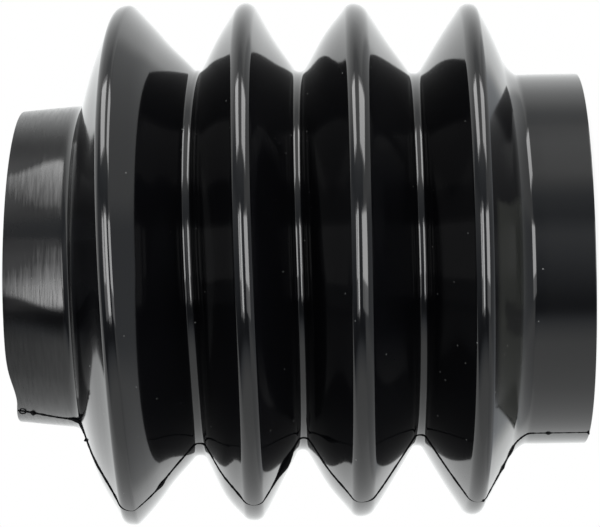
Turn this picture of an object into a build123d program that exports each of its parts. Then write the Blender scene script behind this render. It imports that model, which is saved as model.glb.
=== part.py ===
# Rubber bellows boot, moulded in one piece: two clamp cuffs of different
# diameter, four folds between them, and the thin line of flash that the two
# halves of the mould leave along both sides.
#
# Millimetres. The boot's axis is Z. It stands on the end of its large cuff,
# which lies in the plane z = 0, with the small cuff on top.

from build123d import *
from math import acos, cos, sin, atan2
import os

# --- driving dimensions --------------------------------------------------

wall = 2.0                    # rubber thickness of the folds

base_bore_radius = 32.4       # large cuff
base_cuff_wall = 2.5
base_cuff_length = 10.75      # straight height, up to the first flank
base_cuff_round = 3.9         # outside, where the cuff sweeps into its flank

top_bore_radius = 26.9        # small cuff
top_mouth_wall = 2.4          # thinner at the mouth, so the outside tapers
top_root_wall = 3.4
top_cuff_length = 11.05       # straight height, above the last flank
top_cuff_round = 2.0          # outside, where the cuff turns into its flank

bottom_crest_radius = 48.2    # outermost point of the lowest fold
top_crest_radius = 49.0       # outermost point of the highest fold
bottom_root_radius = 35.3     # valley above the lowest fold
top_root_radius = 36.5        # valley below the highest fold

# Height that each flank climbs, from the large cuff up. The boot has relaxed
# unevenly: the highest fold stands open a little wider than the others.
flank_rises = (10.15, 10.4, 11.15, 10.4, 9.5, 10.0, 12.85, 9.45)

crest_inner_round = 0.3       # inside each crest; the outside is one wall larger
root_outer_round = 1.7        # outside each valley; the inside is one wall larger

seam_height = 0.25            # flash standing proud of the rubber
seam_width = 0.4              # thickness of the flash across the parting plane

# --- the section's rounds ------------------------------------------------
#
# The section is a chain of rounds joined by straight flanks. Each round is
# (radius from the axis, height, size). Its size is positive where the rubber
# bulges outwards and negative where it dips in, so moving the whole surface
# inwards by one wall just takes the wall off every size.

fold_count = len(flank_rises) // 2
folds_height = sum(flank_rises)
boot_height = base_cuff_length + folds_height + top_cuff_length
base_cuff_radius = base_bore_radius + base_cuff_wall
top_mouth_radius = top_bore_radius + top_mouth_wall
top_root_cuff_radius = top_bore_radius + top_root_wall
crest_outer_round = crest_inner_round + wall


def between(bottom, top, step, steps):
    """Value that runs evenly from bottom to top in the given number of steps."""
    return bottom + (top - bottom) * step / steps


def fold_rounds(depth):
    """Rounds of the crests and valleys, the given depth below the outside."""
    rounds = []
    height = base_cuff_length
    for flank, rise in enumerate(flank_rises[:-1]):
        height += rise
        fold = flank // 2
        if flank % 2 == 0:
            crest = between(bottom_crest_radius, top_crest_radius, fold, fold_count - 1)
            rounds.append((crest - crest_outer_round, height, crest_outer_round - depth))
        else:
            root = between(bottom_root_radius, top_root_radius, fold, fold_count - 2)
            rounds.append((root + root_outer_round, height, -root_outer_round - depth))
    return rounds


def surface(depth, base_depth, top_depth, mouth_depth):
    """Whole chain of rounds, the given depths below the outside.

    The depths are those of the folds, the large cuff, the small cuff's root
    and the small cuff's mouth.
    """
    foot = (base_cuff_radius - base_depth, 0, 0)
    base = (
        base_cuff_radius + base_cuff_round,
        base_cuff_length,
        -base_cuff_round - base_depth,
    )
    top = (
        top_root_cuff_radius + top_cuff_round,
        base_cuff_length + folds_height,
        -top_cuff_round - top_depth,
    )
    mouth = (top_mouth_radius - mouth_depth, boot_height, 0)
    return [foot, base, *fold_rounds(depth), top, mouth]


def flank_ends(start, end):
    """Ends of the straight line that touches two rounds on their outer side."""
    across = end[0] - start[0]
    up = end[1] - start[1]
    distance = (across**2 + up**2) ** 0.5
    outward = atan2(up, across) - acos((start[2] - end[2]) / distance)
    normal_x = cos(outward)
    normal_z = sin(outward)
    leave = (start[0] + start[2] * normal_x, start[1] + start[2] * normal_z)
    arrive = (end[0] + end[2] * normal_x, end[1] + end[2] * normal_z)
    return leave, arrive


def draw_surface(rounds):
    """Draw the flanks and the arcs between them in the line being built."""
    flanks = [flank_ends(start, end) for start, end in zip(rounds, rounds[1:])]
    previous = None
    for leave, arrive in flanks:
        if previous is not None:
            TangentArc(previous @ 1, leave, tangent=previous % 1)
        previous = Line(leave, arrive)


outside = surface(0, 0, 0, 0)
inside = surface(wall, base_cuff_wall, top_root_wall, top_mouth_wall)
seam_foot = surface(wall / 2, base_cuff_wall / 2, top_root_wall / 2, top_mouth_wall / 2)
seam_crown = surface(-seam_height, -seam_height, -seam_height, -seam_height)

# --- the boot ------------------------------------------------------------

with BuildPart() as bellows_boot:
    # One turned section makes both cuffs and all the folds.
    with BuildSketch(Plane.XZ):
        with BuildLine():
            draw_surface(outside)
            draw_surface(inside)
            Line(outside[0][:2], inside[0][:2])
            Line(outside[-1][:2], inside[-1][:2])
        make_face()
    revolve(axis=Axis.Z)

    # The mould parts on the plane y = 0, and its flash follows the section up
    # both sides. It is drawn from the middle of the rubber out.
    with BuildSketch(Plane.XZ):
        with BuildLine():
            draw_surface(seam_crown)
            draw_surface(seam_foot)
            Line(seam_crown[0][:2], seam_foot[0][:2])
            Line(seam_crown[-1][:2], seam_foot[-1][:2])
        make_face()
        mirror(about=Plane.YZ)
    extrude(amount=seam_width / 2, both=True)

bellows_boot.part.label = "bellows_boot"

os.makedirs("parts", exist_ok=True)
export_step(bellows_boot.part, "parts/bellows_boot.step")
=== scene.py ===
# Rubber bellows boot, stood on the end of its large cuff: one moulding with a clamp
# cuff at each end, four folds between them, and the thin flash that the two halves of
# the mould left along both sides.
#
# The boot's axis is Z and the floor is z = 0. The rubber is drawn in millimetres and
# turned into metres as its mesh is made.

from math import acos, atan2, ceil, cos, exp, hypot, pi, radians, sin, tau

import bpy
from mathutils import Matrix, Vector, noise


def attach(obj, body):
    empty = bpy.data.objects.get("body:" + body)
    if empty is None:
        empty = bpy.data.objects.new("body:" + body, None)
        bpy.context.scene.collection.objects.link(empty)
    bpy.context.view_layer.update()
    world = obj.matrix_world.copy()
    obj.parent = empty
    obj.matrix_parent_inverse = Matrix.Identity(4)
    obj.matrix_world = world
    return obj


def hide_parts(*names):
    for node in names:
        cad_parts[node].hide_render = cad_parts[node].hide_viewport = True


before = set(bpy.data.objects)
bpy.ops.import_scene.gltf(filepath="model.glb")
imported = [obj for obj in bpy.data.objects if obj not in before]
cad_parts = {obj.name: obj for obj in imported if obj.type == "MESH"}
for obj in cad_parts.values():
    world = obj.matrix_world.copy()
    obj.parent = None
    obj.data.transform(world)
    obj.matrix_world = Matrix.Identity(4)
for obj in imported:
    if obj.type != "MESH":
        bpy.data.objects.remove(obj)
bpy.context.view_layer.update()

MILLIMETRE = 0.001

# --- sizes of the boot, in millimetres ------------------------------------

wall = 2.0                    # rubber thickness of the folds

base_bore_radius = 32.4       # large cuff
base_cuff_wall = 2.6
base_cuff_length = 11.25
base_cuff_round = 1.9         # outside, beside the straight part of the cuff
base_flank_round = 6.2        # and further out, from the turn where the flank begins
base_flank_turn = radians(27)

top_bore_radius = 26.9        # small cuff
top_mouth_wall = 2.6
top_root_wall = 3.55
top_cuff_length = 10.3
top_cuff_round = 2.0

# Flanks, from the large cuff up: the height that each climbs, and how far its middle
# stands proud of the straight (negative where it has sunk in).
flank_rises = (9.85, 10.2, 11.15, 10.4, 9.5, 10.2, 12.75, 10.1)
flank_bows = (0.02, 0.05, -0.15, 0.35, -0.14, 0.30, 0.0, 0.35)

# Crests and valleys, from the large cuff up. The two sides of a crest are rounded by
# different amounts, because the folds have relaxed unevenly.
crest_radii = (48.3, 48.5, 48.9, 49.1)
crest_lower_rounds = (1.76, 3.05, 2.15, 1.25)
crest_upper_rounds = (2.2, 2.0, 2.25, 3.6)
crest_inner_round = 0.4
shoulder_turn = radians(15)   # where the highest crest's flat top gives way
shoulder_round = 1.6          # to a tighter shoulder
brow_turn = radians(39)       # and how its underside begins: a straight brow
brow_length = 3.8
brow_round = 15.0             # that turns into the flank in a soft crease
root_radii = (35.3, 35.85, 36.5)
root_rounds = (1.15, 1.15, 1.1)
root_lands = (0.32, 0.20, 0.42)      # narrow straight land along each valley's bottom

edge_round = 0.1              # broken edges of the two mouths

# --- the camera ------------------------------------------------------------

view_turn = radians(23.5)     # how far round the camera stands from -Y, towards -X
view_side = Vector((-sin(view_turn), -cos(view_turn), 0.0))   # towards the camera
picture_up = Vector((cos(view_turn), -sin(view_turn), 0.0))
picture_right = Vector((0.0, 0.0, -1.0))
camera_distance = 0.448       # metres from the axis
camera_height = 0.04885       # metres up the boot
camera_roll = 0.0151
camera_lens = 141.4
camera_shift = (-0.0377, -0.0038)

# --- how the rubber has settled -------------------------------------------

# The rings of a relaxed boot are not quite parallel. Each leans about the same
# horizontal line by its own small angle, in radians, at its own height.
base_root_lean = -0.0105
crest_leans = (0.0078, 0.0010, -0.0004, -0.0015)
root_leans = (0.0080, 0.0095, 0.0120)
top_root_lean = 0.031
mouth_lean = 0.020

# Three more ways in which each ring is out of true, in millimetres: its front lifted (a
# nod), its two sides lifted above its front and back (a saddle), and a saddle turned by an
# eighth of a turn (a twist).
crest_nods = (0.0, 0.0, 0.0, -0.15)
root_nods = (0.0, 0.0, -0.08)
crest_saddles = (0.0, 0.0, 0.0, -0.25)
root_saddles = (0.0, 0.0, -0.28)
crest_twists = (-0.30, -0.04, -0.50, -0.90)
root_twists = (-0.30, -0.48, -0.75)
top_root_twist = -0.6
mouth_twist = -0.1

# How far each ring has turned about the axis, in radians, and how much further each flank
# has midway up.
crest_turns = (0.003, 0.025, 0.034, 0.022)
root_turns = (0.002, 0.019, 0.020)
mouth_turn = 0.06
flank_turns = (0.0, 0.0, 0.0, 0.012, 0.0, 0.045, -0.032, 0.065)

# How far the middle of each flank is drawn in at the boot's two sides, in millimetres.
flank_hollows = (-0.8, -0.2, -0.35, -0.3, -0.1, -0.6, 1.0, -0.25)

# How far each ring has sunk below the boot's straight axis, in millimetres, and how much
# further each flank has midway up.
foot_sag = 0.17
crest_sags = (0.0, -0.15, -0.12, 0.19)
root_sags = (-0.1, -0.2, -0.05)
top_root_sag = 0.22
mouth_sag = 0.07
flank_sags = (-0.33, 0.0, 0.4, 0.0, 0.5, 0.5, 0.0, 0.3)

# The highest fold and the small cuff are out of round too, in millimetres. Reaches up and
# down are shares of the rise of the fold's lower flank, and places round the boot run
# from 1 straight down to -1 straight up.
top_fold_nudge = 0.6          # the fold's crest pushed down along its upper side
nudge_reach = 0.3
crease_lifts = (0.0, 0.0, 0.0, 0.0, 0.0, 0.0, 0.6, 0.0)    # its lower side's crease lifted
small_cuff_squash = 1.1       # the cuff squeezed slantwise
squash_reach = 0.8            # whole from this far above the fold's crest
mouth_dent = 1.0              # and its edge pushed down beside the seam
dent_place, dent_reach = 0.84, 0.14

# Nor is the foot quite flat. In millimetres:
foot_gap_front = 0.55         # foot's edge off the floor at the front
foot_gap_side = 0.54          # and at one side
foot_clearance = 0.03         # everywhere else
flash_clearance = 0.02        # the flash's end, before that

# --- flash along the parting plane ----------------------------------------

flash_height = 0.17
flash_half_width = 0.06
flash_depth = 0.6             # how far its root is buried in the rubber
flash_shoulder_share = 0.55   # of its height, where it begins to narrow
flash_crown_share = 0.5       # of its width, left at the top
thinnest_flash_share = 0.4    # of its width, left where it is rubbed flush

# The flash is uneven in slow waves and in a finer grain: how many there are to the
# millimetre, and what share of its height and width they add or take.
slow_waves, fine_waves = 0.9, 3.1
slow_height_share, fine_height_share, slow_width_share = 0.35, 0.25, 0.3
noise_apart = 7.0             # keeps the two sides' waves different
fine_noise_apart = 4.0        # and the grain different from the waves

# Height of the flash where it has been rubbed down on the crests, lowest fold first.
crest_flash_heights = (0.01, 0.03, 0.03, 0.04)
crest_flash_reach = 1.8
large_cuff_flash_share = 0.55 # how much of it is left on the large cuff

# Torn places of the flash on the front seam: height up the boot, reach either way,
# how much taller than the rest, and how much thicker.
torn_places = {
    "bead_by_the_mouth": (102.45, 0.40, 0.42, 0.14),
    "web_under_the_small_cuff": (94.4, 1.0, 0.32, 0.07),
    "hair_on_the_top_flank": (92.4, 0.07, 0.35, 0.0),
    "lump_on_the_top_fold": (79.45, 0.7, 0.25, 0.08),
    "flap_over_the_middle_valley": (56.35, 1.2, 0.75, 0.03),
    "nick_on_the_lowest_crest": (20.15, 0.20, 0.22, 0.0),
    "upper_crumb": (16.6, 0.35, 0.14, 0.05),
    "lower_crumb": (15.0, 0.5, 0.14, 0.05),
    "bead_on_the_large_cuff": (8.0, 0.45, 0.25, 0.12),
    "spur_at_the_foot": (0.15, 0.25, 0.35, 0.06),
}

# Small loop of flash, torn loose beside the small mouth.
loop_radius, loop_height = 29.75, 104.5
loop_half_length, loop_half_width, loop_wire = 0.62, 0.36, 0.15

# --- how finely the mesh is drawn -----------------------------------------

sides_around = 184
outside_arc_step, outside_flank_steps = radians(6), 11
inside_arc_step, inside_flank_steps = radians(14), 5
edge_steps = 3                # of a broken edge's quarter round
shortest_flank = 0.01         # millimetres; below it two rounds simply touch
flash_spacing = 0.14          # millimetres
loop_sides, loop_wire_sides = 20, 6

# --- section of the boot ----------------------------------------------------


def outside_chain():
    """The outer surface as rounds from the floor up, and the bow of each link.

    A round is (radius, height, size), with a negative size where it is hollow. A crest
    is two rounds at one height, its lower side's and its upper side's.
    """
    foot_radius = base_bore_radius + base_cuff_wall
    chain = [
        (foot_radius, 0.0, 0.0),
        (foot_radius + base_cuff_round, base_cuff_length, -base_cuff_round),
    ]
    widening = base_flank_round - base_cuff_round
    chain.append(
        (
            chain[-1][0] + widening * cos(base_flank_turn),
            base_cuff_length - widening * sin(base_flank_turn),
            -base_flank_round,
        )
    )
    bows = [0.0, 0.0]
    height = base_cuff_length
    for flank, rise in enumerate(flank_rises):
        height += rise
        bows.append(flank_bows[flank])
        fold = flank // 2
        if flank % 2 == 0:
            if fold == len(crest_radii) - 1:
                # The crease lies one brow's length below the crest's lower round.
                step = brow_round - crest_lower_rounds[fold]
                centre = crest_radii[fold] - crest_lower_rounds[fold] - step * cos(brow_turn)
                centre -= brow_length * sin(brow_turn)
                level = height + step * sin(brow_turn) - brow_length * cos(brow_turn)
                chain.append((centre, level, brow_round))
                bows.append(0.0)
            for size in (crest_lower_rounds[fold], crest_upper_rounds[fold]):
                chain.append((crest_radii[fold] - size, height, size))
            bows.append(0.0)
            if fold == len(crest_radii) - 1:
                # The tighter shoulder touches the flat top from inside.
                step = crest_upper_rounds[fold] - shoulder_round
                centre = chain[-1][0] + step * cos(shoulder_turn)
                chain.append((centre, height + step * sin(shoulder_turn), shoulder_round))
                bows.append(0.0)
        elif fold < len(root_radii):
            size = root_rounds[fold]
            for half in (-root_lands[fold] / 2, root_lands[fold] / 2):
                chain.append((root_radii[fold] + size, height + half, -size))
            bows.append(0.0)
    root_radius = top_bore_radius + top_root_wall
    chain.append((root_radius + top_cuff_round, height, -top_cuff_round))
    chain.append((top_bore_radius + top_mouth_wall, height + top_cuff_length, 0.0))
    bows.append(0.0)
    return chain, bows


def inside_chain():
    """The inner surface in the same way, one wall further in."""
    foot_radius = base_bore_radius + base_cuff_wall
    hollow = base_cuff_round + base_cuff_wall
    chain = [
        (base_bore_radius, 0.0, 0.0),
        (foot_radius + base_cuff_round, base_cuff_length, -hollow),
    ]
    height = base_cuff_length
    for flank, rise in enumerate(flank_rises):
        height += rise
        fold = flank // 2
        if flank % 2 == 0:
            centre = crest_radii[fold] - wall - crest_inner_round
            chain.append((centre, height, crest_inner_round))
        elif fold < len(root_radii):
            size = root_rounds[fold]
            chain.append((root_radii[fold] + size, height, -size - wall))
    root_radius = top_bore_radius + top_root_wall
    hollow = top_cuff_round + top_root_wall
    chain.append((root_radius + top_cuff_round, height, -hollow))
    chain.append((top_bore_radius, height + top_cuff_length, 0.0))
    return chain, [0.0, *flank_bows, 0.0]


def facing_between(start, end):
    """Direction in which the straight that touches two rounds faces outwards."""
    across, up = end[0] - start[0], end[1] - start[1]
    lean = (start[2] - end[2]) / hypot(across, up)
    return atan2(up, across) - acos(max(-1.0, min(1.0, lean)))


def trace(chain, bows, arc_step, flank_steps):
    """Points along a chain of rounds: arcs in equal turns, and flanks with their bow."""
    facings = [facing_between(start, end) for start, end in zip(chain, chain[1:])]
    points = []
    for place, (start, end) in enumerate(zip(chain, chain[1:])):
        out_r, out_z = cos(facings[place]), sin(facings[place])
        leave = (start[0] + start[2] * out_r, start[1] + start[2] * out_z)
        arrive = (end[0] + end[2] * out_r, end[1] + end[2] * out_z)
        length = hypot(arrive[0] - leave[0], arrive[1] - leave[1])
        steps = flank_steps if length > shortest_flank else 0
        for step in range(steps + 1):
            # Steps are closer together at both ends, where the arcs begin.
            part = 0.5 - 0.5 * cos(pi * step / steps) if steps else 0.0
            proud = bows[place] * sin(pi * part) ** 2
            points.append(
                (
                    leave[0] + (arrive[0] - leave[0]) * part + proud * out_r,
                    leave[1] + (arrive[1] - leave[1]) * part + proud * out_z,
                )
            )
        if place + 1 < len(facings):
            turn = facings[place + 1] - facings[place]
            steps = max(2, ceil(abs(turn) / arc_step))
            for step in range(1, steps):
                angle = facings[place] + turn * step / steps
                points.append((end[0] + end[2] * cos(angle), end[1] + end[2] * sin(angle)))
    return points


outline_out = trace(*outside_chain(), outside_arc_step, outside_flank_steps)
outline_in = trace(*inside_chain(), inside_arc_step, inside_flank_steps)


def rim(low_radius, high_radius, height, side):
    """End face between two radii with its broken edges, walked outwards."""
    points = []
    for radius, turn in ((low_radius, 1), (high_radius, -1)):
        centre = (radius + turn * edge_round, height - side * edge_round)
        quarter = []
        for step in range(edge_steps + 1):
            angle = pi / 2 * step / edge_steps
            across, up = turn * edge_round * cos(angle), side * edge_round * sin(angle)
            quarter.append((centre[0] - across, centre[1] + up))
        points += quarter if turn == 1 else quarter[::-1]
    return points


def section():
    """The whole closed section: up the outside, over the mouth, down the inside."""
    mouth_height = outline_out[-1][1]
    mouth = rim(top_bore_radius, top_bore_radius + top_mouth_wall, mouth_height, 1)
    foot = rim(base_bore_radius, base_bore_radius + base_cuff_wall, 0.0, -1)
    return outline_out[1:-1] + mouth[::-1] + outline_in[-2:0:-1] + foot


# --- how the rings lean and warp ----------------------------------------------


def by_ring(foot, base_root, crests, roots, top_root, mouth):
    """Values of all the rings in order, from the foot to the small mouth."""
    values = [foot, base_root]
    for fold in range(len(crests)):
        values.append(crests[fold])
        if fold < len(roots):
            values.append(roots[fold])
    return values + [top_root, mouth]


ring_heights = [0.0, base_cuff_length]
for flank_rise in flank_rises:
    ring_heights.append(ring_heights[-1] + flank_rise)
ring_heights.append(ring_heights[-1] + top_cuff_length)
top_crest_height, top_fold_rise = ring_heights[-3], flank_rises[-2]
ring_leans = by_ring(0.0, base_root_lean, crest_leans, root_leans, top_root_lean, mouth_lean)
ring_nods = by_ring(0.0, 0.0, crest_nods, root_nods, 0.0, 0.0)
ring_saddles = by_ring(0.0, 0.0, crest_saddles, root_saddles, 0.0, 0.0)
ring_twists = by_ring(0.0, 0.0, crest_twists, root_twists, top_root_twist, mouth_twist)
ring_turns = by_ring(0.0, 0.0, crest_turns, root_turns, 0.0, mouth_turn)
ring_sags = by_ring(foot_sag, foot_sag, crest_sags, root_sags, top_root_sag, mouth_sag)


def at_height(height, values):
    """A value of the rings at any height, eased from ring to ring."""
    for place in range(len(ring_heights) - 1):
        low, high = ring_heights[place], ring_heights[place + 1]
        if height <= high:
            part = max(0.0, (height - low) / (high - low))
            ease = part * part * (3 - 2 * part)
            return values[place] + (values[place + 1] - values[place]) * ease
    return values[-1]


def midway(height, values):
    """A value of the flanks at any height: all of it midway, none at the rings."""
    for flank, value in enumerate(values):
        low, high = ring_heights[flank + 1], ring_heights[flank + 2]
        if low < height < high:
            return value * sin(pi * (height - low) / (high - low)) ** 2
    return 0.0


def unit(value):
    """A value kept from 0 to 1."""
    return max(0.0, min(1.0, value))


def bell(distance, reach):
    """1 where the distance is 0, and next to nothing at twice the reach."""
    return exp(-((distance / reach) ** 2))


def lifted(radius, down, front, z):
    """How far the settled rubber has moved up the axis at a point, in millimetres.

    The point's place round the boot is given by how far it lies straight down and how
    far to the front, each from -1 to 1.
    """
    under, over, facing = max(0.0, down), max(0.0, -down), max(0.0, front)
    lift = at_height(z, ring_leans) * down * radius + at_height(z, ring_nods) * front
    lift += 2 * down * (at_height(z, ring_saddles) * down + at_height(z, ring_twists) * front)

    near_foot = max(0.0, 1.0 - z / base_cuff_length) ** 2
    lift += near_foot * (foot_gap_front * facing**2 + foot_gap_side * (1.0 - down) / 2)

    above_crest = (z - top_crest_height) / top_fold_rise
    lift -= top_fold_nudge * over**4 * bell(above_crest, nudge_reach)
    lift += midway(z, crease_lifts) * 2 * under * facing

    in_cuff = unit((z - ring_heights[-2]) / top_cuff_length)
    beside_seam = bell(down - dent_place, dent_reach) * unit(2 * front)
    return lift - mouth_dent * in_cuff**2 * beside_seam


def grown(down, front, z):
    """How far the settled rubber has moved outwards at such a point, in millimetres."""
    above_crest = (z - top_crest_height) / top_fold_rise
    squash = small_cuff_squash * unit(above_crest / squash_reach) ** 2
    slantwise = 2 * down * front * (max(0.0, front) if down > 0 else 1)
    return squash * slantwise - midway(z, flank_hollows) * down**6


def settled(x, y, z):
    """Where a point of the moulded shape lies once the rubber has settled, in metres."""
    radius = hypot(x, y)
    down = -(x * picture_up.x + y * picture_up.y) / radius
    front = (x * view_side.x + y * view_side.y) / radius
    z_settled = z + lifted(radius, down, front, z) + foot_clearance
    stretch = 1.0 + grown(down, front, z) / radius
    turn = at_height(z, ring_turns) + midway(z, flank_turns)
    x_settled = stretch * (x * cos(turn) - y * sin(turn))
    y_settled = stretch * (y * cos(turn) + x * sin(turn))
    sag = at_height(z, ring_sags) + midway(z, flank_sags)
    return (Vector((x_settled, y_settled, z_settled)) - picture_up * sag) * MILLIMETRE


# --- meshes ------------------------------------------------------------------


def turned(points, count):
    """Vertices and faces of a closed section turned once round the axis."""
    vertices, faces = [], []
    for step in range(count):
        angle = tau * step / count
        for radius, height in points:
            vertices.append(settled(radius * cos(angle), radius * sin(angle), height))
    size = len(points)
    for step in range(count):
        here, there = step * size, (step + 1) % count * size
        for place in range(size):
            after = (place + 1) % size
            faces.append((here + place, there + place, there + after, here + after))
    return vertices, faces


def along(points, spacing):
    """Points at even spacing along an outline, each with the direction it faces."""
    made = []
    carry = 0.0
    for (r0, z0), (r1, z1) in zip(points, points[1:]):
        length = hypot(r1 - r0, z1 - z0)
        while length > 0.0 and carry <= length:
            part = carry / length
            made.append((r0 + (r1 - r0) * part, z0 + (z1 - z0) * part))
            carry += spacing
        carry -= length
    faced = []
    for place in range(len(made)):
        before = made[max(0, place - 1)]
        after = made[min(len(made) - 1, place + 1)]
        across, up = after[0] - before[0], after[1] - before[1]
        distance = hypot(across, up)
        faced.append((*made[place], up / distance, -across / distance))
    return faced


def flash_size(height, side):
    """Height and half thickness of the flash at a height up one side of the boot."""
    slow = noise.noise(Vector((height * slow_waves, side * noise_apart, 0.0)))
    fine = noise.noise(Vector((height * fine_waves, side * noise_apart, fine_noise_apart)))
    proud = flash_height * (1.0 + slow_height_share * slow + fine_height_share * fine)
    half = flash_half_width * (1.0 + slow_width_share * slow)
    for crest_height, flash_there in zip(ring_heights[2::2], crest_flash_heights):
        proud += (flash_there - proud) * bell(height - crest_height, crest_flash_reach)
    proud *= 1.0 - (1.0 - large_cuff_flash_share) * unit(base_cuff_length - height)
    half *= thinnest_flash_share + (1.0 - thinnest_flash_share) * proud / flash_height
    if side < 0:
        for place, reach, taller, thicker in torn_places.values():
            nearness = bell(height - place, reach)
            proud += taller * nearness
            half += thicker * nearness
    return proud, half


def flash(side):
    """Vertices and faces of the flash along one side of the boot."""
    vertices, faces = [], []
    path = along(outline_out, flash_spacing)
    for radius, height, out_r, out_z in path:
        proud, half = flash_size(height, side)
        shoulder, crown = proud * flash_shoulder_share, half * flash_crown_share
        profile = (
            (-flash_depth, -half),
            (shoulder, -half),
            (proud, -crown),
            (proud, crown),
            (shoulder, half),
            (-flash_depth, half),
        )
        for out, across in profile:
            z = max(flash_clearance, height + out_z * out)
            vertices.append(settled(side * (radius + out_r * out), across, z))
    ring = len(profile)
    for step in range(len(path) - 1):
        here, there = step * ring, (step + 1) * ring
        for place in range(ring):
            after = (place + 1) % ring
            faces.append((here + place, there + place, there + after, here + after))
    last = (len(path) - 1) * ring
    faces.append(tuple(range(ring)))
    faces.append(tuple(range(last + ring - 1, last - 1, -1)))
    if side < 0:
        faces = [face[::-1] for face in faces]
    return vertices, faces


def torn_loop():
    """Vertices and faces of the loop that is torn loose beside the small mouth."""
    vertices, faces = [], []
    for step in range(loop_sides):
        angle = tau * step / loop_sides
        for corner in range(loop_wire_sides):
            swing = tau * corner / loop_wire_sides
            long = (loop_half_length + loop_wire * cos(swing)) * cos(angle)
            wide = (loop_half_width + loop_wire * cos(swing)) * sin(angle)
            vertices.append(
                settled(-(loop_radius + wide), loop_wire * sin(swing), loop_height + long)
            )
    for step in range(loop_sides):
        here, there = step * loop_wire_sides, (step + 1) % loop_sides * loop_wire_sides
        for place in range(loop_wire_sides):
            after = (place + 1) % loop_wire_sides
            faces.append((here + place, here + after, there + after, there + place))
    return vertices, faces


def joined(parts):
    """One mesh from several closed skins, each with its material's number."""
    vertices, faces, finishes = [], [], []
    for (points, polygons), finish in parts:
        start = len(vertices)
        vertices += points
        faces += [tuple(start + v for v in face) for face in polygons]
        finishes += [finish] * len(polygons)
    mesh = bpy.data.meshes.new("bellows_boot_rubber")
    mesh.from_pydata(vertices, [], faces)
    mesh.polygons.foreach_set("material_index", finishes)
    mesh.polygons.foreach_set("use_smooth", [True] * len(faces))
    mesh.update()
    return mesh


# --- finishes ----------------------------------------------------------------


class Wire:
    """A socket of a finish that can be used in sums like a number."""

    def __init__(self, finish, socket):
        self.finish = finish
        self.socket = socket

    def __add__(self, other):
        return self.finish.sum("ADD", self, other)

    __radd__ = __add__

    def __sub__(self, other):
        return self.finish.sum("SUBTRACT", self, other)

    def __rsub__(self, other):
        return self.finish.sum("SUBTRACT", other, self)

    def __mul__(self, other):
        return self.finish.sum("MULTIPLY", self, other)

    __rmul__ = __mul__

    def __truediv__(self, other):
        return self.finish.sum("DIVIDE", self, other)

    def __rtruediv__(self, other):
        return self.finish.sum("DIVIDE", other, self)

    def __gt__(self, other):
        return self.finish.sum("GREATER_THAN", self, other)

    def __lt__(self, other):
        return self.finish.sum("LESS_THAN", self, other)


class Finish:
    """The nodes of one material, or of the world."""

    def __init__(self, owner):
        owner.use_nodes = True
        self.tree = owner.node_tree
        self.tree.nodes.clear()

    def node(self, kind, settings=None, values=None):
        """Add a node: its settings first, then what goes into its sockets."""
        made = self.tree.nodes.new(kind)
        for name, setting in (settings or {}).items():
            if name == "stops":
                self.set_stops(made.color_ramp, setting)
            else:
                setattr(made, name, setting)
        sockets = {socket.identifier: socket for socket in made.inputs}
        for name, value in (values or {}).items():
            if isinstance(value, Wire):
                self.tree.links.new(value.socket, sockets[name])
            else:
                sockets[name].default_value = value
        return {socket.identifier: Wire(self, socket) for socket in made.outputs}

    def set_stops(self, ramp, stops):
        """Give a ramp its stops: where each is, and its grey level."""
        while len(ramp.elements) < len(stops):
            ramp.elements.new(1.0)
        for element, (position, level) in zip(ramp.elements, stops):
            element.position = position
            element.color = (level, level, level, 1.0)

    def sum(self, operation, first, second):
        """One sum of two values."""
        values = {"Value": first, "Value_001": second}
        return self.node("ShaderNodeMath", {"operation": operation}, values)["Value"]

    def rise(self, value, low, high):
        """Ease from 0 to 1 while a value goes from low to high."""
        ranged = {"Value": value, "From Min": low, "From Max": high}
        eased = {"interpolation_type": "SMOOTHSTEP"}
        return self.node("ShaderNodeMapRange", eased, ranged)["Result"]

    def between(self, value, begins, ends):
        """Ease from 0 to 1 across one pair of values, and back to 0 across another."""
        return self.rise(value, *begins) * (1 - self.rise(value, *ends))

    def colour(self, factor, first, second):
        """Mix two colours."""
        values = {"Factor_Float": factor, "A_Color": first, "B_Color": second}
        return self.node("ShaderNodeMix", {"data_type": "RGBA"}, values)["Result_Color"]

    def scaled(self, place, scale):
        """A place stretched by its own amount along each axis."""
        values = {"Vector": place, "Vector_001": scale}
        return self.node("ShaderNodeVectorMath", {"operation": "MULTIPLY"}, values)["Vector"]

    def towards(self, way, direction):
        """How far a direction points the same way as another, from -1 to 1."""
        values = {"Vector": way, "Vector_001": direction}
        return self.node("ShaderNodeVectorMath", {"operation": "DOT_PRODUCT"}, values)["Value"]

    def noise(self, place, scale, detail=2.0):
        """Soft random clouds between 0 and 1."""
        values = {"Vector": place, "Scale": scale, "Detail": detail}
        return self.node("ShaderNodeTexNoise", None, values)["Fac"]


# Where the finish changes up the boot and across it (across is upwards as the camera
# stands, from the boot's axis). Each pair is where a change begins and ends, in metres.
small_cuff_begins = (0.0946, 0.0954)
large_cuff_ends = (0.0085, 0.0115)
film_begins, film_ends = (0.0130, 0.0142), (0.0180, 0.0192)
film_upper_edge = (0.0082, 0.0102)
wiped_lower_edge, wiped_upper_edge = (-0.0138, -0.0118), (-0.0088, -0.0062)
wiped_end = (0.0166, 0.0182)
film_wobble = 0.006           # how far its edges stray
wiped_share = 0.8             # how much of it has been wiped off there

film_colour = (0.040, 0.041, 0.036, 1)
dust_colour = (0.22, 0.22, 0.21, 1)
rubber_blacks = (0.0020, 0.0020, 0.0026, 1), (0.0030, 0.0030, 0.0037, 1)
flash_blacks = (0.004, 0.004, 0.005, 1), (0.010, 0.010, 0.011, 1)

dust_scale = 640.0            # cells to the metre, of which a few hold a grain
dust_size, dust_rarity = 0.09, 0.93
streak_scale = (200.0, 200.0, 2600.0)        # fine scratches run round the small cuff
streak_depth, cloud_depth = 0.00001, 0.000004        # metres

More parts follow.
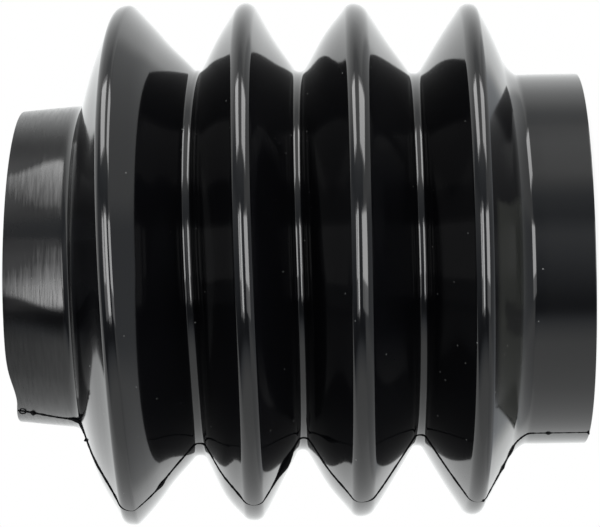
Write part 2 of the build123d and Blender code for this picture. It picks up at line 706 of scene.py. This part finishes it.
# The small cuff's marks, by how far up the side facing the camera they lie: 1 is the
# cuff's radius. Marks that slant lie this much further up at the mouth.
small_cuff_radius = 0.0295
mouth_side = (0.094, 0.1057)  # metres up the boot
scuff_slant, scuff_begins, scuff_ends = -0.1, (0.63, 0.69), (0.7, 0.9)
scuff_dullness = 0.6
# The slantwise band under the rubbed part is painted shade: its gloss is all but taken away,
# so it shows dark.
shade_band_slant, shade_band_begins, shade_band_ends = 0.11, (-0.48, -0.33), (-0.31, -0.265)
shade_band_strength = 0.9
rubbed_by_the_mouth, rubbed_streaks = 0.3, 0.7

# How dull the small cuff is, by the same measure: partly rubbed wear, partly painted light and
# shade.
rubbed_and_shaded_levels = (
    (-0.9, 0.05),
    (-0.4, 0.1),
    (-0.2, 0.05),
    (-0.13, 0.25),
    (-0.06, 0.6),
    (0.02, 0.85),
    (0.13, 0.85),
    (0.18, 0.0),
    (0.25, 0.1),
    (0.33, 0.85),
    (0.46, 0.6),
    (0.6, 0.25),
    (0.8, 0.05),
)


def filmed(finish, base, place, height, across):
    """A base colour with the dull film on the lowest flank, partly wiped off."""
    wobble = film_wobble * (finish.noise(place, 160.0, 4.0) - 0.5)
    blotched = across + wobble
    lowest_flank = finish.between(height, film_begins, film_ends)
    wiped = finish.between(blotched, wiped_lower_edge, wiped_upper_edge)
    wiped = wiped * (1 - finish.rise(height + wobble, *wiped_end))
    film = lowest_flank * (1 - finish.rise(blotched, *film_upper_edge))
    return finish.colour(film * (1 - wiped_share * wiped), base, film_colour)


def dust_specks(finish, place):
    """1 in a few grains of dust and 0 elsewhere."""
    grains = finish.node(
        "ShaderNodeTexVoronoi", {"feature": "F1"}, {"Vector": place, "Scale": dust_scale}
    )
    tint = finish.node("ShaderNodeSeparateColor", None, {"Color": grains["Color"]})
    return (grains["Distance"] < dust_size) * (tint["Red"] > dust_rarity)


def rubbed_and_shaded_dullness(finish, around, towards_mouth, streaks):
    """Small cuff's dullness: wear and painted light and shade, most along its middle and by
    the mouth.
    """
    stops = [((up + 1) / 2, level) for up, level in rubbed_and_shaded_levels]
    ramp = finish.node("ShaderNodeValToRGB", {"stops": stops}, {"Fac": 0.5 + 0.5 * around})
    level = finish.node("ShaderNodeSeparateColor", None, {"Color": ramp["Color"]})["Red"]
    scuff = finish.rise(around - scuff_slant * towards_mouth, *scuff_begins)
    scuff = scuff * (1 - finish.rise(around, *scuff_ends))
    uneven = rubbed_streaks * (streaks - 0.5)
    return level + rubbed_by_the_mouth * towards_mouth + uneven + scuff_dullness * scuff


def rubber():
    """Glossy black rubber: dust, fine scratches, and a small cuff dulled by rubbing and
    painted shade.
    """
    material = bpy.data.materials.new("black_rubber")
    finish = Finish(material)
    place = finish.node("ShaderNodeTexCoord")["Object"]
    height = finish.node("ShaderNodeSeparateXYZ", None, {"Vector": place})["Z"]
    across = finish.towards(place, picture_up)
    around = across / small_cuff_radius
    small_cuff = finish.rise(height, *small_cuff_begins)
    large_cuff = 1 - finish.rise(height, *large_cuff_ends)
    towards_mouth = finish.rise(height, *mouth_side)

    streaks = finish.noise(finish.scaled(place, streak_scale), 1.0, 4.0)
    clouds = finish.noise(place, 90.0, 3.0)
    dust = dust_specks(finish, place)
    base = finish.colour(clouds, *rubber_blacks)
    base = filmed(finish, base, place, height, across)
    base = finish.colour(dust, base, dust_colour)
    rough = 0.07 + 0.03 * clouds + 0.05 * small_cuff + 0.05 * large_cuff + 0.4 * dust
    bumps = streak_depth * streaks * small_cuff + cloud_depth * clouds
    normal = finish.node(
        "ShaderNodeBump", None, {"Strength": 1.0, "Distance": 1.0, "Height": bumps}
    )["Normal"]
    glossy = finish.node(
        "ShaderNodeBsdfPrincipled",
        None,
        {"Base Color": base, "Roughness": rough, "Normal": normal, "IOR": 1.5},
    )["BSDF"]
    dull = finish.node(
        "ShaderNodeBsdfPrincipled",
        None,
        {"Base Color": base, "Roughness": 0.4, "Normal": normal, "Specular IOR Level": 0.15},
    )["BSDF"]
    painted_shade_bsdf = finish.node(
        "ShaderNodeBsdfPrincipled",
        None,
        {"Base Color": base, "Roughness": 0.3, "Specular IOR Level": 0.04},
    )["BSDF"]

    # The rubbed bands stand partly for painted light and shade laid along the cuff's
    # reflections.
    rubbed_and_shaded = rubbed_and_shaded_dullness(finish, around, towards_mouth, streaks)
    worn_and_shaded = finish.node(
        "ShaderNodeMixShader",
        None,
        {"Fac": small_cuff * rubbed_and_shaded, "Shader": glossy, "Shader_001": dull},
    )["Shader"]
    # Painted shade: a band runs slantwise under the rubbed part, where the gloss is all but
    # taken away so that it shows dark.
    painted_shade_band = finish.between(around - shade_band_slant * towards_mouth, shade_band_begins, shade_band_ends)
    surface = finish.node(
        "ShaderNodeMixShader",
        None,
        {"Fac": shade_band_strength * small_cuff * painted_shade_band, "Shader": worn_and_shaded, "Shader_001": painted_shade_bsdf},
    )["Shader"]
    finish.node("ShaderNodeOutputMaterial", None, {"Surface": surface})
    return material


def dull_rubber():
    """The torn, dull rubber of the flash."""
    material = bpy.data.materials.new("dull_rubber")
    finish = Finish(material)
    place = finish.node("ShaderNodeTexCoord")["Object"]
    grain = finish.noise(place, 1500.0, 3.0)
    base = finish.colour(grain, *flash_blacks)
    surface = finish.node(
        "ShaderNodeBsdfPrincipled",
        None,
        {"Base Color": base, "Roughness": 0.5 + 0.2 * grain, "Specular IOR Level": 0.1},
    )["BSDF"]
    finish.node("ShaderNodeOutputMaterial", None, {"Surface": surface})
    return material


# --- the boot ----------------------------------------------------------------

skins = [
    (turned(section(), sides_around), 0),
    (flash(-1), 1),
    (flash(1), 1),
    (torn_loop(), 1),
]
boot = bpy.data.objects.new("rubber_boot", joined(skins))
bpy.context.scene.collection.objects.link(boot)
boot.data.materials.append(rubber())
boot.data.materials.append(dull_rubber())
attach(boot, "root")
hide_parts("bellows_boot")

# --- floor ---------------------------------------------------------------------

floor_reach = 4.0             # metres either way
shadow_ends = (0.02, 0.035)   # metres from the boot's axis
shadow_share = 0.25           # how much of the boot's shadow shows within them


def pale_floor():
    """White floor, with a little of the boot's shadow inside its foot and none beyond."""
    material = bpy.data.materials.new("pale_floor")
    finish = Finish(material)
    place = finish.node("ShaderNodeTexCoord")["Object"]
    distance = finish.node(
        "ShaderNodeVectorMath", {"operation": "LENGTH"}, {"Vector": place}
    )["Value"]
    ray = finish.node("ShaderNodeLightPath")
    direct = ray["Is Camera Ray"] + ray["Is Glossy Ray"] + ray["Is Transmission Ray"]
    plain = 1 - shadow_share + shadow_share * finish.rise(distance, *shadow_ends)
    shadowed = finish.node(
        "ShaderNodeBsdfDiffuse", None, {"Color": (0.85, 0.85, 0.85, 1)}
    )["BSDF"]
    white = finish.node(
        "ShaderNodeEmission", None, {"Color": (1, 1, 1, 1), "Strength": 1.0}
    )["Emission"]
    mixed = finish.node(
        "ShaderNodeMixShader",
        None,
        {"Fac": direct * plain, "Shader": shadowed, "Shader_001": white},
    )["Shader"]
    finish.node("ShaderNodeOutputMaterial", None, {"Surface": mixed})
    return material


floor_mesh = bpy.data.meshes.new("floor")
floor_corners = [
    (floor_reach * x, floor_reach * y, 0) for x, y in ((-1, -1), (1, -1), (1, 1), (-1, 1))
]
floor_mesh.from_pydata(floor_corners, [], [(0, 1, 2, 3)])
floor_mesh.materials.append(pale_floor())
floor = bpy.data.objects.new("floor", floor_mesh)
bpy.context.scene.collection.objects.link(floor)
# The two right-hand soft boxes hang below the floor, so it lets their light through and
# doesn't show in the gloss.
floor.visible_glossy = False
floor.visible_shadow = False

# --- studio ----------------------------------------------------------------------


def studio_direction(rise, turn):
    """Direction from the boot at an angle above the camera and an angle to its right."""
    upright = view_side * cos(radians(rise)) + picture_up * sin(radians(rise))
    return upright * cos(radians(turn)) + picture_right * sin(radians(turn))


boxes_aim = Vector((0.0, 0.0, 0.053))
box_distance = 1.3            # metres
middle_distance = 1.28        # of the smaller box in front of each
border_share = 0.3            # how bright a box's border is beside its middle
border_rise, border_turn = 4, 2      # degrees
second_loss = 0.75            # how much fainter boxes and studio are in a second reflection
upper_second_loss = 0.88      # and the boxes overhead,
overhead = 45                 # which are those above this angle
first_bounces = 2.5           # a ray deeper than this has met the rubber twice


def soft_box(name, rise, turn, brightness, distance):
    """Soft box that shows in the gloss, between two rises and two turns in degrees."""
    middle_rise, middle_turn = sum(rise) / 2, sum(turn) / 2
    width = 2 * distance * sin(radians(turn[1] - turn[0]) / 2)
    tall = 2 * distance * sin(radians(rise[1] - rise[0]) / 2) * cos(radians(middle_turn))
    lamp = bpy.data.lights.new(name, "AREA")
    lamp.shape = "RECTANGLE"
    lamp.size = width
    lamp.size_y = tall
    lamp.energy = brightness * pi * width * tall
    finish = Finish(lamp)
    twice = finish.node("ShaderNodeLightPath")["Ray Depth"] > first_bounces
    loss = second_loss if middle_rise < overhead else upper_second_loss
    glow = finish.node("ShaderNodeEmission", None, {"Strength": 1 - loss * twice})
    finish.node("ShaderNodeOutputLight", None, {"Surface": glow["Emission"]})
    holder = bpy.data.objects.new(name, lamp)
    back = studio_direction(middle_rise, middle_turn)
    side = studio_direction(middle_rise, middle_turn + 90)
    axes = Matrix((side, back.cross(side), back)).transposed()
    holder.rotation_mode = "QUATERNION"
    holder.rotation_quaternion = axes.to_quaternion()
    holder.location = boxes_aim + back * distance
    holder.visible_camera = False
    holder.visible_diffuse = False
    bpy.context.scene.collection.objects.link(holder)


def glowing_box(name, rise, turn, brightness, low_border=border_rise):
    """Soft box with a dimmer border: a smaller box hangs just in front of a larger."""
    inner_rise = (rise[0] + low_border, rise[1] - border_rise)
    inner_turn = (turn[0] + border_turn, turn[1] - border_turn)
    soft_box(name, rise, turn, border_share * brightness, box_distance)
    soft_box(name + "_middle", inner_rise, inner_turn, brightness, middle_distance)


glowing_box("front_left_box", (-27, 25), (-34, -21), 5.2, low_border=18)
glowing_box("front_middle_box", (-27, 27), (-21, -5), 6.8)
glowing_box("front_right_box", (-27, 27), (15, 52), 5.4, low_border=16)
glowing_box("upper_left_box", (45, 92), (-34, -9), 5.2)
glowing_box("upper_right_box", (45, 92), (12, 44), 4.6)

# How bright the studio shows in the gloss, by the angle above the camera: dim where the
# camera stands, with a dark gap under it. Only the camera sees it plain white.
studio_levels = (
    (-180, 1.25),
    (-105, 1.2),
    (-80, 1.1),
    (-52, 1.0),
    (-44, 0.78),
    (-38, 0.52),
    (-33, 0.2),
    (-30, 0.12),
    (-22, 0.15),
    (-6, 0.32),
    (14, 0.58),
    (26, 0.36),
    (38, 0.52),
    (54, 1.12),
    (74, 1.22),
    (88, 0.9),
    (101, 0.78),
    (114, 1.16),
    (135, 1.42),
    (180, 1.25),
)


brightest = 1.5               # full scale of those levels
front_spread = 5.0            # how much wider the camera's side shows than it is
# The end of the studio beyond the large cuff is more evenly lit.
end_begins = (0.42, 0.54)
end_level, end_extra, end_extra_begins = 0.58, 0.3, (0.25, 0.45)
end_level_middle = -0.06
folds_see = 0.6               # how far sideways the folds mirror one another
dim_grey, bright_grey = (0.93, 1.0, 1.09, 1), (0.985, 1.0, 1.0, 1)
grey_changes = (0.1, 0.7)


def studio():
    """White studio: plain white behind, darker on the side where the camera stands."""
    world = bpy.data.worlds.new("white_studio")
    bpy.context.scene.world = world
    finish = Finish(world)
    way = finish.node("ShaderNodeTexCoord")["Generated"]
    raised = finish.towards(way, picture_up)
    sideways = finish.towards(way, picture_right)
    level_reach = finish.sum("POWER", 1 - raised * raised, 0.5)
    forward = front_spread * finish.towards(way, view_side)
    forward = finish.sum("MAXIMUM", 0 - level_reach, forward)
    forward = finish.sum("MINIMUM", level_reach, forward)
    angle = finish.sum("ARCTAN2", raised, forward)
    stops = [((degrees + 180) / 360, level / brightest) for degrees, level in studio_levels]
    level = finish.node("ShaderNodeValToRGB", {"stops": stops}, {"Fac": 0.5 + angle / tau})
    shown = finish.node("ShaderNodeSeparateColor", None, {"Color": level["Color"]})["Red"]
    off_level = finish.sum("MAXIMUM", raised - end_level_middle, end_level_middle - raised)
    at_end = end_level + end_extra * finish.rise(off_level, *end_extra_begins)
    shown = shown + finish.rise(sideways, *end_begins) * (at_end / brightest - shown)
    ray = finish.node("ShaderNodeLightPath")
    twice = ray["Ray Depth"] > first_bounces
    between_folds = twice * (sideways > -folds_see) * (sideways < folds_see)
    strength = brightest * shown * (1 - second_loss * between_folds)
    strength = strength + ray["Is Camera Ray"] * (1 - strength)
    shade = finish.colour(finish.rise(shown, *grey_changes), dim_grey, bright_grey)
    shade = finish.colour(ray["Is Camera Ray"], shade, (1, 1, 1, 1))
    light = finish.node(
        "ShaderNodeBackground", None, {"Color": shade, "Strength": strength}
    )["Background"]
    finish.node("ShaderNodeOutputWorld", None, {"Surface": light})


studio()

lens = bpy.data.cameras.new("camera")
lens.sensor_width = 36.0
lens.lens = camera_lens
lens.shift_x, lens.shift_y = camera_shift
lens.clip_start, lens.clip_end = 0.01, 20.0
camera = bpy.data.objects.new("camera", lens)
bpy.context.scene.collection.objects.link(camera)
across = (picture_right - camera_roll * picture_up).normalized()
upright = (picture_up + camera_roll * picture_right).normalized()
camera.rotation_mode = "QUATERNION"
camera.rotation_quaternion = Matrix((across, upright, view_side)).transposed().to_quaternion()
camera.location = view_side * camera_distance + Vector((0, 0, camera_height))
bpy.context.scene.camera = camera
bpy.context.scene.view_settings.view_transform = "Standard"
